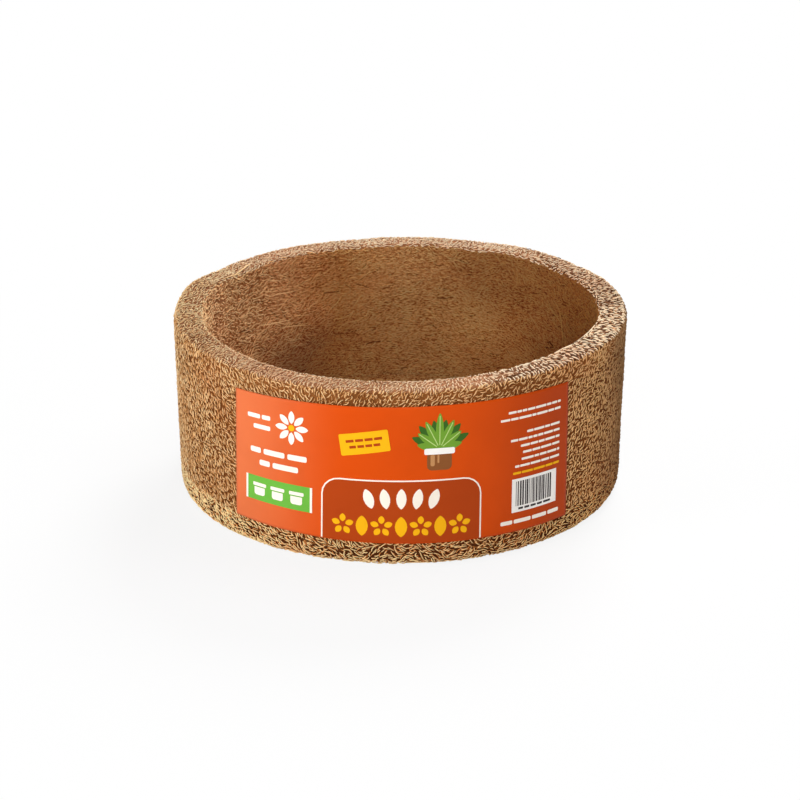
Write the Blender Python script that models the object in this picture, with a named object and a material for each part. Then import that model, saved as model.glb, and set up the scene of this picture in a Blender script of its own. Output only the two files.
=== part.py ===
# Coir pot: a low, round planter pressed from coconut fibre, with a printed paper
# label on its front. Metres, +Z up, label towards -Y, origin on the ground at the
# pot's axis.
import math

import bmesh
import bpy
from mathutils import Matrix, Vector

# Side wall: its outside leans out a little from the foot to the rim
RIM_DIAMETER = 0.250
FOOT_DIAMETER = 0.2472
POT_HEIGHT = 0.100
WALL_THICKNESS = 0.016
RIM_OUTER_ROUNDING = 0.0032
RIM_INNER_ROUNDING = 0.0028
FOOT_ROUNDING = 0.006

# Foot flange: the wall's lower margin, turned in under the base disc
FLANGE_THICKNESS = 0.0065
FLANGE_WIDTH = 0.018

# Base disc: its edge rests on the flange and its middle fills the flange's opening
DISC_EDGE_THICKNESS = 0.0062
COVE_RADIUS = 0.005
COVE_LIP = 0.0012
DRAIN_DIAMETER = 0.016
SEAM_CLEARANCE = 0.0003

# Label: a sheet wrapped round the front of the wall
LABEL_WIDTH = 0.193
LABEL_HEIGHT = 0.0755
LABEL_BOTTOM = 0.014
LABEL_THICKNESS = 0.0003
LABEL_CLEARANCE = 0.0003
LABEL_TURN = math.radians(0.5)

# Smoothness of the round shapes
TURN_STEPS = 96
ARC_STEP = math.radians(24)
LABEL_STEPS = 32
SHARP_ANGLE = math.radians(35)

# Colours are linear RGB
COIR_COLOUR = (0.445, 0.209, 0.080, 1.0)
BASE_COLOUR = (0.352, 0.160, 0.060, 1.0)
LABEL_COLOUR = (0.800, 0.100, 0.012, 1.0)
COIR_ROUGHNESS = 0.95
LABEL_ROUGHNESS = 0.35


def clear_scene():
    for old in list(bpy.data.objects):
        bpy.data.objects.remove(old, do_unlink=True)


def outer_radius(height):
    foot, rim = FOOT_DIAMETER / 2, RIM_DIAMETER / 2
    return foot + (rim - foot) * height / POT_HEIGHT


def inner_radius(height):
    return outer_radius(height) - WALL_THICKNESS


def flange_radius():
    return inner_radius(FLANGE_THICKNESS) - FLANGE_WIDTH


# A closed outline in the plane of radius and height. Each corner is (radius,
# height, rounding), and a rounding above zero becomes an arc.
def rounded_outline(corners):
    points = []
    for index, (radius, height, rounding) in enumerate(corners):
        corner = Vector((radius, height))
        if rounding <= 0:
            points.append(corner)
            continue
        before = Vector(corners[index - 1][:2])
        after = Vector(corners[(index + 1) % len(corners)][:2])
        to_before = (before - corner).normalized()
        to_after = (after - corner).normalized()
        half_angle = to_before.angle(to_after) / 2
        centre = corner + (to_before + to_after).normalized() * rounding / math.sin(half_angle)
        arm = corner + to_before * rounding / math.tan(half_angle) - centre
        sweep = math.pi - 2 * half_angle
        if to_before.cross(to_after) > 0:
            sweep = -sweep
        steps = max(2, math.ceil(abs(sweep) / ARC_STEP))
        for step in range(steps + 1):
            points.append(centre + Matrix.Rotation(sweep * step / steps, 2) @ arm)
    return points


def turned_mesh(name, outline):
    shape = bmesh.new()
    ring = [shape.verts.new((point.x, 0.0, point.y)) for point in outline]
    edges = [shape.edges.new((ring[i - 1], ring[i])) for i in range(len(ring))]
    bmesh.ops.spin(
        shape,
        geom=ring + edges,
        cent=(0.0, 0.0, 0.0),
        axis=(0.0, 0.0, 1.0),
        angle=2 * math.pi,
        steps=TURN_STEPS,
        use_merge=True,
    )
    bmesh.ops.remove_doubles(shape, verts=shape.verts, dist=1e-7)
    bmesh.ops.recalc_face_normals(shape, faces=shape.faces)
    mesh = bpy.data.meshes.new(name)
    shape.to_mesh(mesh)
    shape.free()
    mesh.shade_smooth()
    mesh.set_sharp_from_angle(angle=SHARP_ANGLE)
    return mesh


def plain_material(name, colour, roughness):
    material = bpy.data.materials.new(name)
    material.use_nodes = True
    shader = material.node_tree.nodes["Principled BSDF"]
    shader.inputs["Base Color"].default_value = colour
    shader.inputs["Roughness"].default_value = roughness
    shader.inputs["Metallic"].default_value = 0.0
    return material


def add_object(name, mesh, material):
    mesh.materials.append(material)
    piece = bpy.data.objects.new(name, mesh)
    bpy.context.scene.collection.objects.link(piece)
    return piece


def make_side_wall():
    outline = rounded_outline(
        [
            (flange_radius(), 0.0, 0.0),
            (outer_radius(0.0), 0.0, FOOT_ROUNDING),
            (outer_radius(POT_HEIGHT), POT_HEIGHT, RIM_OUTER_ROUNDING),
            (inner_radius(POT_HEIGHT), POT_HEIGHT, RIM_INNER_ROUNDING),
            (inner_radius(FLANGE_THICKNESS), FLANGE_THICKNESS, 0.0),
            (flange_radius(), FLANGE_THICKNESS, 0.0),
        ]
    )
    material = plain_material("side_wall", COIR_COLOUR, COIR_ROUGHNESS)
    return add_object("side_wall", turned_mesh("side_wall", outline), material)


# The disc's top curves up to the wall in a cove, which ends in a narrow flat lip.
def make_base_disc():
    step_height = FLANGE_THICKNESS + SEAM_CLEARANCE
    floor_height = step_height + DISC_EDGE_THICKNESS
    cove_height = floor_height + COVE_RADIUS
    plug_radius = flange_radius() - SEAM_CLEARANCE
    cove_edge = inner_radius(cove_height) - SEAM_CLEARANCE - COVE_LIP
    outline = rounded_outline(
        [
            (DRAIN_DIAMETER / 2, 0.0, 0.0),
            (plug_radius, 0.0, 0.0),
            (plug_radius, step_height, 0.0),
            (inner_radius(step_height) - SEAM_CLEARANCE, step_height, 0.0),
            (inner_radius(cove_height) - SEAM_CLEARANCE, cove_height, 0.0),
            (cove_edge, cove_height, 0.0),
            (cove_edge, floor_height, 0.999 * COVE_RADIUS),
            (DRAIN_DIAMETER / 2, floor_height, 0.0),
        ]
    )
    material = plain_material("base_disc", BASE_COLOUR, COIR_ROUGHNESS)
    return add_object("base_disc", turned_mesh("base_disc", outline), material)


def make_label():
    middle = LABEL_BOTTOM + LABEL_HEIGHT / 2
    front = LABEL_TURN - math.pi / 2
    shape = bmesh.new()
    bmesh.ops.create_grid(shape, x_segments=LABEL_STEPS, y_segments=1, size=0.5)
    for vert in shape.verts:
        height = middle + vert.co.y * LABEL_HEIGHT
        angle = front + vert.co.x * LABEL_WIDTH / outer_radius(middle)
        radius = outer_radius(height) + LABEL_CLEARANCE
        vert.co = (radius * math.cos(angle), radius * math.sin(angle), height)
    bmesh.ops.recalc_face_normals(shape, faces=shape.faces)
    first = shape.faces[:][0]
    if first.normal.dot(first.calc_center_median().xy.to_3d()) < 0:
        bmesh.ops.reverse_faces(shape, faces=shape.faces)
    mesh = bpy.data.meshes.new("label")
    shape.to_mesh(mesh)
    shape.free()
    mesh.shade_smooth()
    material = plain_material("label", LABEL_COLOUR, LABEL_ROUGHNESS)
    label = add_object("label", mesh, material)
    sheet = label.modifiers.new("sheet", "SOLIDIFY")
    sheet.thickness = LABEL_THICKNESS
    sheet.offset = 1.0
    return label


clear_scene()
make_side_wall()
make_base_disc()
make_label()
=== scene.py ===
import random
from bisect import bisect_right
from math import atan2, ceil, cos, degrees, hypot, pi, radians, sin, tan

import bmesh
import bpy
from mathutils import Matrix, Vector, noise


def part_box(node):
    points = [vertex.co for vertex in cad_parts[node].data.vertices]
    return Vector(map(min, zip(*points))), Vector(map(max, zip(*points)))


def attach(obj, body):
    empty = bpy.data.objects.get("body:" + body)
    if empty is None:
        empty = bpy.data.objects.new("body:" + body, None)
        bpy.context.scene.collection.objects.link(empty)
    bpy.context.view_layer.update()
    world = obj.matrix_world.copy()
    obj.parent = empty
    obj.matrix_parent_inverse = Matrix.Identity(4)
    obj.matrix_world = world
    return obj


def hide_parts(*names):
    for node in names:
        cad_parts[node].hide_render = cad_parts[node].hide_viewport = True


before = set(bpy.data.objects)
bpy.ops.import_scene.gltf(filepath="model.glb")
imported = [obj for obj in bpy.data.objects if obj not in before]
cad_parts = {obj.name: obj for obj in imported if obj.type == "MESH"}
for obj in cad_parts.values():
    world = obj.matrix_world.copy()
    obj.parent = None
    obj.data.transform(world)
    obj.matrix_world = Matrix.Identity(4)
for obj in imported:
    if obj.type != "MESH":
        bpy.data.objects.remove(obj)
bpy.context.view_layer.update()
mm = 0.001
squareCm = 0.0001
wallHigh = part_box("side_wall")[1]
print("frame loaded")

# The pot's section, in metres. The overall sizes come from the frame.
pot = {
    "height": wallHigh.z,
    "rimRadius": wallHigh.x,
    "footInset": 1.4 * mm,  # how much narrower the foot is
    "wall": 16 * mm,
    "rimOuterRounding": 3.2 * mm,
    "rimInnerRounding": 2.8 * mm,
    "footRounding": 6 * mm,
    "flange": 6.5 * mm,
    "flangeWidth": 18 * mm,
    "floor": 13 * mm,
    "cove": 5 * mm,
    "coveLip": 0.5 * mm,
    "drainRadius": 8 * mm,
    "seam": 0.3 * mm,
    "footZone": 15 * mm,  # height of the coarse band above the ground
    "footDraw": 0.6 * mm,  # how far that band draws in at the ground
    "rightDraw": 0.7 * mm,  # how far the right side draws in below the rim
    "outOfRound": 0.35 * mm,  # how far the rim leans out and in, three times round the pot
    "rimBand": 1.6 * mm,  # the rim's strands start this far below its top
    "innerBand": 2.2 * mm,  # and the inside's this far before the end of its inner rounding
}


def outerAt(height):
    return pot["rimRadius"] - pot["footInset"] * (1 - height / pot["height"])


def innerAt(height):
    return outerAt(height) - pot["wall"]


# A place of the section, turned round the pot
def turnRound(radius, height, angle):
    return Vector((radius * cos(angle), radius * sin(angle), height))


# Small unevenness of the whole rim: (angle in degrees, half width in degrees, rise)
rimSwells = [
    (20, 24, 1.0 * mm),
    (52, 24, 1.6 * mm),
    (83, 20, 0.7 * mm),
    (122, 22, 0.2 * mm),
    (146, 6, -0.4 * mm),
    (164, 18, 2.3 * mm),
    (205, 30, 0.4 * mm),
    (262, 40, -0.3 * mm),
    (318, 34, 1.0 * mm),
]


def settle(place):
    angle = degrees(atan2(place.y, place.x)) % 360
    share = max(0.0, place.z / pot["height"]) ** 2
    rise = 0.0
    for middle, halfWidth, most in rimSwells:
        away = abs((angle - middle + 180) % 360 - 180) / halfWidth
        if away < 1:
            rise += most * (0.5 + 0.5 * cos(pi * away))
    lean = pot["outOfRound"] * sin(radians(3 * angle + 40)) * share
    lean -= pot["footDraw"] * max(0.0, 1 - max(place.z, 0.0) / pot["footZone"]) ** 2
    lean -= pot["rightDraw"] * max(0.0, cos(radians(angle))) ** 4 * (1 - share)
    flat = hypot(place.x, place.y) or 1.0
    return Vector(
        (
            place.x * (1 + lean / flat),
            place.y * (1 + lean / flat),
            place.z + rise * share,
        )
    )


# The label as a flat sheet: u runs round the wall from its middle, v up from its lower edge
label = {
    "width": 194 * mm,
    "height": 76.5 * mm,
    "thickness": 0.22 * mm,
    "clearance": 0.35 * mm,
    "wrapRadius": 124.2 * mm,
    "bottom": (14.2 * mm, -1.0 * mm, 0.4 * mm),  # middle, tilt and bow of its lower edge
    "top": (91.2 * mm, 0.5 * mm, -2.1 * mm),
    "slip": (0.4 * mm, 1.15 * mm),  # shift round the wall at the foot, and what the top adds
    "narrowing": 0.026,  # how much shorter the top edge lies
    "ripple": (0.1 * mm, 60, 3.7),  # height, how many to the metre, and where its noise starts
    "cell": 1.6 * mm,
}


def labelEdge(edge, across):
    middle, tilt, bow = label[edge]
    return middle + tilt * across + bow * across**2


def onLabel(u, v, rise):
    across = 2 * u / label["width"]
    up = v / label["height"]
    bottom = labelEdge("bottom", across)
    height = bottom + (labelEdge("top", across) - bottom) * up
    run = u * (1 - label["narrowing"] * up) + label["slip"][0] + label["slip"][1] * up
    angle = run / label["wrapRadius"] - pi / 2
    most, scale, start = label["ripple"]
    ripple = most * noise.noise(Vector((u * scale, v * scale, start)))
    radius = outerAt(height) + label["clearance"] + ripple + rise
    return settle(turnRound(radius, height, angle))


# How far inside the label's edge a place on the wall lies. Below zero is outside.
def insideLabel(angle, height):
    up = min(max((height - label["bottom"][0]) / label["height"], 0.0), 1.0)
    run = ((angle + pi / 2 + pi) % (2 * pi) - pi) * label["wrapRadius"]
    run -= label["slip"][0] + label["slip"][1] * up
    across = 2 * run / label["width"]
    if abs(across) > 1.1:
        return -1.0
    halfWidth = label["width"] / 2 * (1 - label["narrowing"] * up)
    fromFoot = height - labelEdge("bottom", across)
    return min(halfWidth - abs(run), fromFoot, labelEdge("top", across) - height)


# Soft lumps of the felt, about 10 mm and 3 mm across. The label presses them flat.
def lumps(place):
    high = sum(size * noise.noise(place * scale) for size, scale in felt["lumps"])
    outside = hypot(place.x, place.y) > outerAt(place.z) - felt["skin"]
    if place.y < 0 and outside:
        if insideLabel(atan2(place.y, place.x), place.z) > -felt["pressedPast"]:
            return min(high, 0.0)
    return high


def sectionOutline(corners, spacing):
    points = []
    for index, (radius, height, rounding) in enumerate(corners):
        corner = Vector((radius, height))
        if rounding <= 0:
            points.append(corner)
            continue
        toBefore = (Vector(corners[index - 1][:2]) - corner).normalized()
        toAfter = (Vector(corners[(index + 1) % len(corners)][:2]) - corner).normalized()
        half = toBefore.angle(toAfter) / 2
        centre = corner + (toBefore + toAfter).normalized() * rounding / sin(half)
        arm = corner + toBefore * rounding / tan(half) - centre
        sweep = pi - 2 * half
        if toBefore.cross(toAfter) > 0:
            sweep = -sweep
        steps = max(4, ceil(abs(sweep) * rounding / spacing))
        for step in range(steps + 1):
            points.append(centre + Matrix.Rotation(sweep * step / steps, 2) @ arm)
    dense = []
    for point, after in zip(points, points[1:] + points[:1]):
        steps = max(1, round((after - point).length / spacing))
        dense += [point.lerp(after, step / steps) for step in range(steps)]
    return dense


flangeRadius = innerAt(pot["flange"]) - pot["flangeWidth"]
footToRim = [
    (outerAt(0.0), 0.0, pot["footRounding"]),
    (outerAt(pot["height"]), pot["height"], pot["rimOuterRounding"]),
    (innerAt(pot["height"]), pot["height"], pot["rimInnerRounding"]),
]
wallCorners = [
    (flangeRadius, 0.0, 0.0),
    *footToRim,
    (innerAt(pot["flange"]), pot["flange"], 0.0),
    (flangeRadius, pot["flange"], 0.0),
]
coveTop = pot["floor"] + pot["cove"]
stepHeight = pot["flange"] + pot["seam"]
plugRadius = flangeRadius - pot["seam"]
coveEdge = innerAt(coveTop) - pot["seam"] - pot["coveLip"]
baseCorners = [
    (pot["drainRadius"], 0.0, 0.0),
    (plugRadius, 0.0, 0.0),
    (plugRadius, stepHeight, 0.0),
    (innerAt(stepHeight) - pot["seam"], stepHeight, 0.0),
    (innerAt(coveTop) - pot["seam"], coveTop, 0.0),
    (coveEdge, coveTop, 0.0),
    (coveEdge, pot["floor"], 0.99 * pot["cove"]),
    (pot["drainRadius"], pot["floor"], 0.0),
]
# The whole pot in one outline, which the strands follow across the seams
potCorners = [
    (pot["drainRadius"], 0.0, 0.0),
    *footToRim,
    (innerAt(pot["floor"]), pot["floor"], pot["cove"] + pot["coveLip"]),
    (pot["drainRadius"], pot["floor"], 0.0),
]
pathPoints = sectionOutline(potCorners, 1.0 * mm)
pathPoints.append(pathPoints[0])
pathRuns = [0.0]
for before, after in zip(pathPoints, pathPoints[1:]):
    pathRuns.append(pathRuns[-1] + (after - before).length)


# Where the section is at this distance along it, and which way is out
def alongSection(run):
    run = min(max(run, 0.0), pathRuns[-1] - 1e-6)
    index = bisect_right(pathRuns, run) - 1
    before, after = pathPoints[index], pathPoints[index + 1]
    way = (after - before).normalized()
    share = (run - pathRuns[index]) / (pathRuns[index + 1] - pathRuns[index])
    return before.lerp(after, share), Vector((way.y, -way.x))


def runWhere(test, start=0.0):
    for point, run in zip(pathPoints, pathRuns):
        if run > start and test(point):
            return run
    return pathRuns[-1]


footStart = runWhere(lambda p: p.x > outerAt(0.0) - pot["footRounding"])
wallStart = runWhere(lambda p: p.y > pot["footZone"], footStart)
rimStart = runWhere(lambda p: p.y > pot["height"] - pot["rimBand"], wallStart)
innerEdge = runWhere(lambda p: p.y < pot["height"] - pot["rimInnerRounding"], rimStart + 8 * mm)
innerStart = innerEdge - pot["innerBand"]
floorStart = runWhere(lambda p: p.y < coveTop, innerStart)
drainStart = runWhere(lambda p: p.x < pot["drainRadius"] + 1 * mm, floorStart)


# Shader helpers
def newMaterial(name):
    material = bpy.data.materials.new(name)
    material.use_nodes = True
    return material, material.node_tree, material.node_tree.nodes["Principled BSDF"]


# Gives each socket its value, or a link where the value is another node's output
def feed(tree, sockets, values):
    for key, value in values.items():
        if hasattr(value, "links"):
            tree.links.new(value, sockets[key])
        else:
            sockets[key].default_value = value


def addNode(tree, kind, inputs=None, **settings):
    made = tree.nodes.new(kind)
    for key, value in settings.items():
        setattr(made, key, value)
    feed(tree, made.inputs, inputs or {})
    return made


# The node tree that the first socket among these values is in
def treeOf(*values):
    return next(value.id_data for value in values if hasattr(value, "links"))


def noiseNode(vector, scale, detail, roughness=0.5, distortion=0.0, kind="FBM"):
    inputs = {"Vector": vector, "Scale": scale, "Detail": detail, "Roughness": roughness}
    inputs["Distortion"] = distortion
    made = addNode(vector.id_data, "ShaderNodeTexNoise", inputs, noise_type=kind)
    return made.outputs["Fac"]


def spread(value, low, high, toLow=0.0, toHigh=1.0):
    inputs = {"Value": value, "From Min": low, "From Max": high, "To Min": toLow, "To Max": toHigh}
    made = addNode(value.id_data, "ShaderNodeMapRange", inputs, interpolation_type="SMOOTHSTEP")
    return made.outputs["Result"]


def blendColours(share, first, second, kind="MIX"):
    inputs = {0: share, 6: first, 7: second}
    tree = treeOf(share, first, second)
    made = addNode(tree, "ShaderNodeMix", inputs, data_type="RGBA", blend_type=kind)
    return made.outputs[2]


def sums(first, second, kind="ADD"):
    inputs = {0: first, 1: second}
    return addNode(treeOf(first, second), "ShaderNodeMath", inputs, operation=kind).outputs[0]


def objectPlace(tree):
    return tree.nodes.new("ShaderNodeTexCoord").outputs["Object"]


# A node group with its sockets: what it is given, what it results in, and the place
def newGroup(name, inputs, outputs):
    tree = bpy.data.node_groups.new(name, "ShaderNodeTree")
    for key, value in inputs.items():
        kind = "NodeSocketColor" if isinstance(value, tuple) else "NodeSocketFloat"
        made = tree.interface.new_socket(name=key, in_out="INPUT", socket_type=kind)
        made.default_value = value
    for key in outputs:
        kind = "NodeSocketColor" if key == "Colour" else "NodeSocketFloat"
        tree.interface.new_socket(name=key, in_out="OUTPUT", socket_type=kind)
    given = tree.nodes.new("NodeGroupInput")
    result = tree.nodes.new("NodeGroupOutput")
    return tree, given.outputs, result.inputs, objectPlace(tree)


# sRGB, to the linear values that a shader takes
def colour(red, green, blue):
    linear = [c / 255 for c in (red, green, blue)]
    linear = [c / 12.92 if c <= 0.04045 else ((c + 0.055) / 1.055) ** 2.4 for c in linear]
    return (*linear, 1.0)


# Coir colour: each strand's own shade, darker and redder patches, and fine grain
def makeFibreTone():
    inputs = {
        "Strand": 0.5,
        "Dark": (0.1, 0.04, 0.01, 1),
        "Middle": (0.3, 0.13, 0.05, 1),
        "Pale": (0.6, 0.35, 0.18, 1),
        "Warm": (0.4, 0.12, 0.05, 1),
        "Patch Scale": 32.0,
        "Grain Scale": 700.0,
        "Patchiness": 0.6,
    }
    tree, given, result, where = newGroup("fibreTone", inputs, ("Colour", "Roughness", "Height"))
    patch = noiseNode(where, given["Patch Scale"], 3.0, 0.55)
    grain = noiseNode(where, given["Grain Scale"], 2.0, 0.6)
    blotch = noiseNode(where, 120.0, 2.0, 0.5, 0.6)
    warmth = noiseNode(where, 21.0, 2.0, 0.5, 0.4)
    uneven = spread(patch, 0.3, 0.7, -0.16, 0.16)
    uneven = sums(uneven, spread(blotch, 0.25, 0.75, -0.12, 0.12))
    uneven = sums(uneven, given["Patchiness"], "MULTIPLY")
    shade = sums(given["Strand"], uneven)
    shade = sums(shade, spread(grain, 0.25, 0.75, -0.1, 0.1))
    low = blendColours(spread(shade, 0.0, 0.5), given["Dark"], given["Middle"])
    tone = blendColours(spread(shade, 0.45, 1.0), low, given["Pale"])
    tone = blendColours(spread(warmth, 0.45, 0.7, 0.0, 0.25), tone, given["Warm"])
    rough = spread(grain, 0.2, 0.8, 0.72, 0.95)
    feed(tree, result, {"Colour": tone, "Roughness": rough, "Height": grain})
    return tree


# Printed ink: faint mottling, fine paper grain and a little scuffing
def makePrintWear():
    inputs = {"Ink": (0.8, 0.1, 0.01, 1), "Mottle": 0.12, "Gloss": 0.42}
    tree, given, result, where = newGroup("printWear", inputs, ("Colour", "Roughness", "Height"))
    cloud = noiseNode(where, 45.0, 3.0, 0.55)
    tooth = noiseNode(where, 1500.0, 2.0, 0.6)
    darker = blendColours(1.0, given["Ink"], (0.72, 0.66, 0.62, 1.0), "MULTIPLY")
    share = sums(spread(cloud, 0.35, 0.75), given["Mottle"], "MULTIPLY")
    tone = blendColours(share, given["Ink"], darker)
    rough = sums(given["Gloss"], spread(tooth, 0.3, 0.7, -0.05, 0.08))
    feed(tree, result, {"Colour": tone, "Roughness": rough, "Height": tooth})
    return tree


fibreTone = makeFibreTone()
printWear = makePrintWear()


# Casts of painted light and shade, mixed with some real uneven tint of the coir: the inside is
# painted lighter on the left and darker on the right and low down, the rim paler at the back, the
# outside darker at its edges, most at the right, and the gap casts paint shade between the strands.
# Each cast goes from one side of the pot to the other, as the place across and what it multiplies
# the colour by. The inside has one for the upper part of its wall and one for the lower.
insideCast = [
    (-0.105, (1.00, 0.96, 0.92)),
    (-0.088, (1.00, 0.95, 0.88)),
    (-0.070, (1.00, 0.88, 0.77)),
    (-0.048, (0.84, 0.67, 0.49)),
    (-0.036, (0.70, 0.56, 0.36)),
    (-0.018, (0.75, 0.64, 0.45)),
    (0.000, (0.71, 0.65, 0.48)),
    (0.020, (0.63, 0.55, 0.385)),
    (0.050, (0.465, 0.36, 0.227)),
    (0.100, (0.395, 0.26, 0.128)),
]
lowInsideCast = [
    (-0.105, (0.95, 0.84, 0.74)),
    (-0.088, (0.92, 0.79, 0.69)),
    (-0.070, (0.55, 0.43, 0.35)),
    (-0.054, (0.46, 0.36, 0.27)),
    (-0.036, (0.56, 0.44, 0.27)),
    (-0.018, (0.68, 0.57, 0.39)),
    (0.000, (0.72, 0.62, 0.45)),
    (0.036, (0.76, 0.67, 0.46)),
    (0.054, (0.68, 0.53, 0.34)),
    (0.075, (0.58, 0.43, 0.26)),
    (0.100, (0.29, 0.17, 0.085)),
]
gapCast = [
    (-0.085, (0.72, 0.62, 0.54)),
    (-0.045, (0.90, 0.88, 0.86)),
]
rimGapCast = [
    (-0.110, (0.62, 0.56, 0.50)),
    (-0.060, (0.76, 0.72, 0.68)),
    (-0.020, (1.00, 1.00, 1.00)),
    (0.040, (1.00, 1.00, 1.00)),
    (0.090, (0.34, 0.30, 0.27)),
]
rimCast = [
    (-0.115, (0.88, 0.80, 0.61)),
    (-0.080, (0.91, 0.82, 0.71)),
    (0.000, (1.00, 0.99, 0.93)),
    (0.060, (0.99, 0.97, 0.94)),
    (0.090, (1.00, 0.92, 0.84)),
]
outsideCast = [
    (-0.124, (0.80, 0.84, 0.90)),
    (-0.112, (1.00, 1.00, 1.00)),
    (0.030, (1.00, 1.00, 1.00)),
    (0.085, (1.00, 0.92, 0.83)),
    (0.104, (0.84, 0.73, 0.62)),
    (0.113, (0.57, 0.46, 0.39)),
    (0.120, (0.33, 0.26, 0.22)),
    (0.125, (0.25, 0.19, 0.16)),
]


def castRamp(across, cast):
    first, last = cast[0][0], cast[-1][0]
    inputs = {"Value": across, "From Min": first, "From Max": last}
    share = addNode(across.id_data, "ShaderNodeMapRange", inputs).outputs["Result"]
    ramp = addNode(across.id_data, "ShaderNodeValToRGB", {"Fac": share})
    stops = ramp.color_ramp.elements
    while len(stops) < len(cast):
        stops.new(0.5)
    for stop, (place, tone) in zip(stops, cast):
        stop.position = (place - first) / (last - first)
    for stop, (place, tone) in zip(stops, cast):
        stop.color = (*tone, 1.0)
    return ramp.outputs["Color"]


# A cast of painted light and shade, with some tint, as a node group. It drifts a little to and fro,
# and at the back less of it is applied.
def makeCast(name, cast, drifting, atBack=1.0, fading=(20 * mm, 95 * mm), lowCast=None):
    inputs = {"Colour": (0.5, 0.3, 0.2, 1), "Share": 1.0}
    tree, given, result, where = newGroup(name, inputs, ["Colour"])
    split = addNode(tree, "ShaderNodeSeparateXYZ", {0: where}).outputs
    drift = spread(noiseNode(where, 26.0, 4.0, 0.6), 0.25, 0.75, -drifting, drifting)
    across = sums(split["X"], drift)
    tone = castRamp(across, cast)
    # the lower part of the inside wall takes the second cast, painted shade that is darkest low on
    # the left
    if lowCast:
        up = sums(split["Z"], sums(across, -0.1, "MULTIPLY"))
        high = spread(up, 42 * mm, 74 * mm)
        tone = blendColours(high, castRamp(across, lowCast), tone)
    depth = spread(split["Y"], *fading, 1.0, atBack)
    much = sums(given["Share"], depth, "MULTIPLY")
    feed(tree, result, {"Colour": blendColours(much, given["Colour"], tone, "MULTIPLY")})
    return tree


insideTintAndShade = makeCast("insideTintAndShade", insideCast, 8 * mm, lowCast=lowInsideCast)
insideGapShade = makeCast("insideGapShade", gapCast, 8 * mm)
rimGapShade = makeCast("rimGapShade", rimGapCast, 4 * mm, 0.3)
rimTintAndShade = makeCast("rimTintAndShade", rimCast, 8 * mm, 0.8)
outsideTintAndShade = makeCast("outsideTintAndShade", outsideCast, 3 * mm, 0.2, (-6 * mm, 90 * mm))


def castOver(tintAndShade, tone, share=1.0):
    inputs = {"Colour": tone, "Share": share}
    return addNode(tone.id_data, "ShaderNodeGroup", inputs, node_tree=tintAndShade).outputs["Colour"]


# Coir of the loose strands: its cast of painted light and shade with some tint, and its tones
toneNames = ("Dark", "Middle", "Pale", "Warm")
strandCoirs = {
    "outside": (outsideTintAndShade, (130, 72, 28), (214, 154, 94), (255, 216, 160), (216, 142, 88)),
    "foot": (outsideTintAndShade, (62, 29, 8), (246, 160, 88), (255, 226, 166), (244, 150, 82)),
    "rim": (rimTintAndShade, (132, 87, 52), (232, 187, 146), (255, 240, 212), (234, 176, 140)),
    "inside": (insideTintAndShade, (182, 114, 66), (255, 200, 146), (255, 220, 168), (250, 182, 136)),
    "creaseShade": (insideTintAndShade, (104, 62, 32), (148, 96, 56), (202, 140, 90), (144, 82, 46)),
    "rimCreaseShade": (rimTintAndShade, (70, 38, 18), (106, 66, 38), (146, 98, 64), (104, 60, 32)),
}


def strandMaterial(name, tintAndShade, *tones):
    material, tree, shader = newMaterial(name)
    inputs = {key: colour(*tone) for key, tone in zip(toneNames, tones)}
    own = addNode(tree, "ShaderNodeAttribute", attribute_name="strandShade")
    inputs["Strand"] = own.outputs["Fac"]
    group = addNode(tree, "ShaderNodeGroup", inputs, node_tree=fibreTone)
    tintedAndShaded = castOver(tintAndShade, group.outputs["Colour"])
    feed(tree, shader.inputs, {"Base Color": tintedAndShaded, "Roughness": 0.8, "Specular IOR Level": 0.04})
    return material


coir = {name: strandMaterial(name + "Coir", *plan) for name, plan in strandCoirs.items()}

# The felt itself, darker than the strands, partly painted shade for the gaps where it shows. Its
# zone attribute is 0 outside, a half on the rim and 1 inside.
feltTones = {
    "Dark": ((106, 58, 20), (121, 71, 40), (164, 98, 52)),
    "Middle": ((148, 92, 46), (174, 118, 78), (250, 188, 134)),
    "Pale": ((182, 124, 74), (210, 160, 118), (255, 222, 172)),
    "Warm": ((146, 82, 38), (174, 112, 76), (250, 174, 128)),
}


# Noise drawn out flat, so that it runs mostly round the pot
def flatNoise(where, flatter, *values):
    inputs = {"Vector": where, "Scale": (1.0, 1.0, flatter)}
    lie = addNode(where.id_data, "ShaderNodeMapping", inputs)
    return noiseNode(lie.outputs["Vector"], *values)


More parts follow.
